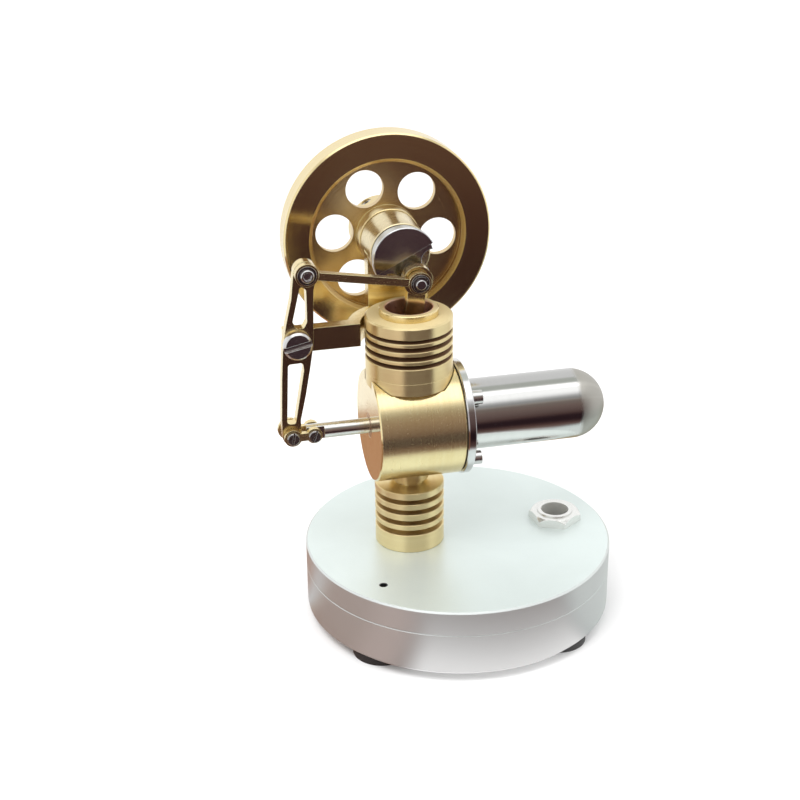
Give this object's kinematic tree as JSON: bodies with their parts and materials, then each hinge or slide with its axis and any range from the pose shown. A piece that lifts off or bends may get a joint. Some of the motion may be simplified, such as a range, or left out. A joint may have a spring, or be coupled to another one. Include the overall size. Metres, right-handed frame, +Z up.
{
  "type": "stirling engine model",
  "caption": "Small gamma-layout hot-air engine on a round fuel-tank base, with an open rocker linkage, crank disc and spoked flywheel.",
  "frame": {"origin": "on the ground plane under the undersides of the four feet, on the round base's own axis", "axes": "+Z up; +X along the displacer axis towards the hot cap; +Y along the crankshaft towards the flywheel"},
  "size_m": [0.0623, 0.058, 0.089],
  "materials": {
    "aluminium_blasted": "fine bead-blasted, clear anodised",
    "rubber_black": "matt",
    "gasket": "matt sheet",
    "nickel": "turned, satin nickel",
    "brass_turned": "fine turned, bright",
    "brass_polished": "polished with fine lathe marks",
    "brass_wheel": "faced and polished",
    "brass_milled": "milled and linished",
    "bronze": "sintered bush",
    "steel_turned": "turned stainless",
    "steel_cap": "polished stainless, matt heat-tinted dome",
    "steel_polished": "polished",
    "steel_screws": "nickel-plated screw",
    "steel_black": "black oxide",
    "graphite": null,
    "steel_thin": "thin drawn stainless"
  },
  "bodies": {
    "root": {"rubber_feet": "rubber_black", "tank_lower_shell": "aluminium_blasted", "tank_upper_shell": "aluminium_blasted", "tank_o_ring": "rubber_black", "wick_tube": "nickel", "wick_nut": "nickel", "column_screw": "steel_screws", "finned_column": "brass_turned", "displacer_housing": "brass_polished", "rod_bush": "bronze", "head_gasket": "gasket", "clamp_flange": "steel_turned", "hot_cap": "steel_cap", "flange_screws": "steel_screws", "power_cylinder": "brass_turned", "cylinder_liner": "brass_turned", "bracket": "brass_milled", "bracket_screws": "steel_screws", "bearing_housing": "brass_turned", "bearing_outer_races": "steel_polished", "bearing_balls": "steel_polished", "rocker_pivot_screw": "steel_screws", "rocker_washer": "steel_screws"},
    "crank": {"crankshaft": "steel_polished", "crank_disc": "steel_polished", "crank_pin": "steel_polished", "crank_pin_spacer": "steel_screws", "crank_pin_washer": "steel_screws", "crank_pin_clip": "steel_black", "bearing_inner_races": "steel_polished"},
    "flywheel": {"flywheel": "brass_wheel", "flywheel_grub_screw": "steel_black"},
    "connecting_rod": {"conrod": "brass_milled", "conrod_bush": "bronze"},
    "piston": {"power_piston": "graphite", "wrist_pin": "steel_polished"},
    "link": {"link_bar": "brass_milled", "link_bush_rocker": "steel_black", "link_bush_crank": "steel_black"},
    "rocker": {"rocker": "brass_milled", "rocker_top_screw": "steel_black", "dogbone_pin_rocker": "steel_black", "dogbone_nut_rocker": "steel_black"},
    "dogbones": {"dogbone_front": "brass_milled", "dogbone_rear": "brass_milled"},
    "displacer": {"displacer": "steel_thin", "displacer_rod": "steel_polished", "dogbone_pin_rod": "steel_black", "dogbone_nut_rod": "steel_black"}
  },
  "joints": [
    {"name": "crank_turn", "type": "hinge", "parent": "root", "child": "crank", "pos_m": [-0.00895, 0.0045, 0.06933], "axis": [0, -1, 0], "range_deg": [-25, 25]},
    {"name": "flywheel_spin", "type": "hinge", "parent": "crank", "child": "flywheel", "pos_m": [-0.00895, 0.019, 0.06933], "axis": [0, -1, 0], "continuous": true},
    {"name": "conrod_swing", "type": "hinge", "parent": "crank", "child": "connecting_rod", "pos_m": [-0.00741, 0.00115, 0.0663], "axis": [0, -1, 0], "range_deg": [-30, 30]},
    {"name": "piston_slide", "type": "slide", "parent": "root", "child": "piston", "axis": [0, 0, 1], "range_m": [-0.0008, 0.0008]},
    {"name": "link_swing", "type": "hinge", "parent": "crank", "child": "link", "pos_m": [-0.00741, -0.0008, 0.0663], "axis": [0, -1, 0], "range_deg": [-23, 23]},
    {"name": "rocker_swing", "type": "hinge", "parent": "root", "child": "rocker", "pos_m": [-0.02965, 0.00115, 0.05655], "axis": [0, -1, 0], "range_deg": [-5, 5]},
    {"name": "dogbone_swing", "type": "hinge", "parent": "rocker", "child": "dogbones", "pos_m": [-0.03113, 0.00115, 0.03865], "axis": [0, -1, 0], "range_deg": [-3.2, 3.2]},
    {"name": "displacer_slide", "type": "slide", "parent": "root", "child": "displacer", "axis": [1, 0, 0], "range_m": [-0.0016, 0.0016]}
  ],
  "couplings": [
    {"joint": "conrod_swing", "follows": "crank_turn", "ratio": -1.1891},
    {"joint": "piston_slide", "follows": "crank_turn", "m_per_rad": 0.0017781},
    {"joint": "link_swing", "follows": "crank_turn", "ratio": -0.90895},
    {"joint": "rocker_swing", "follows": "crank_turn", "ratio": -0.19316},
    {"joint": "dogbone_swing", "follows": "crank_turn", "ratio": 0.12065},
    {"joint": "displacer_slide", "follows": "crank_turn", "m_per_rad": -0.0034497}
  ]
}
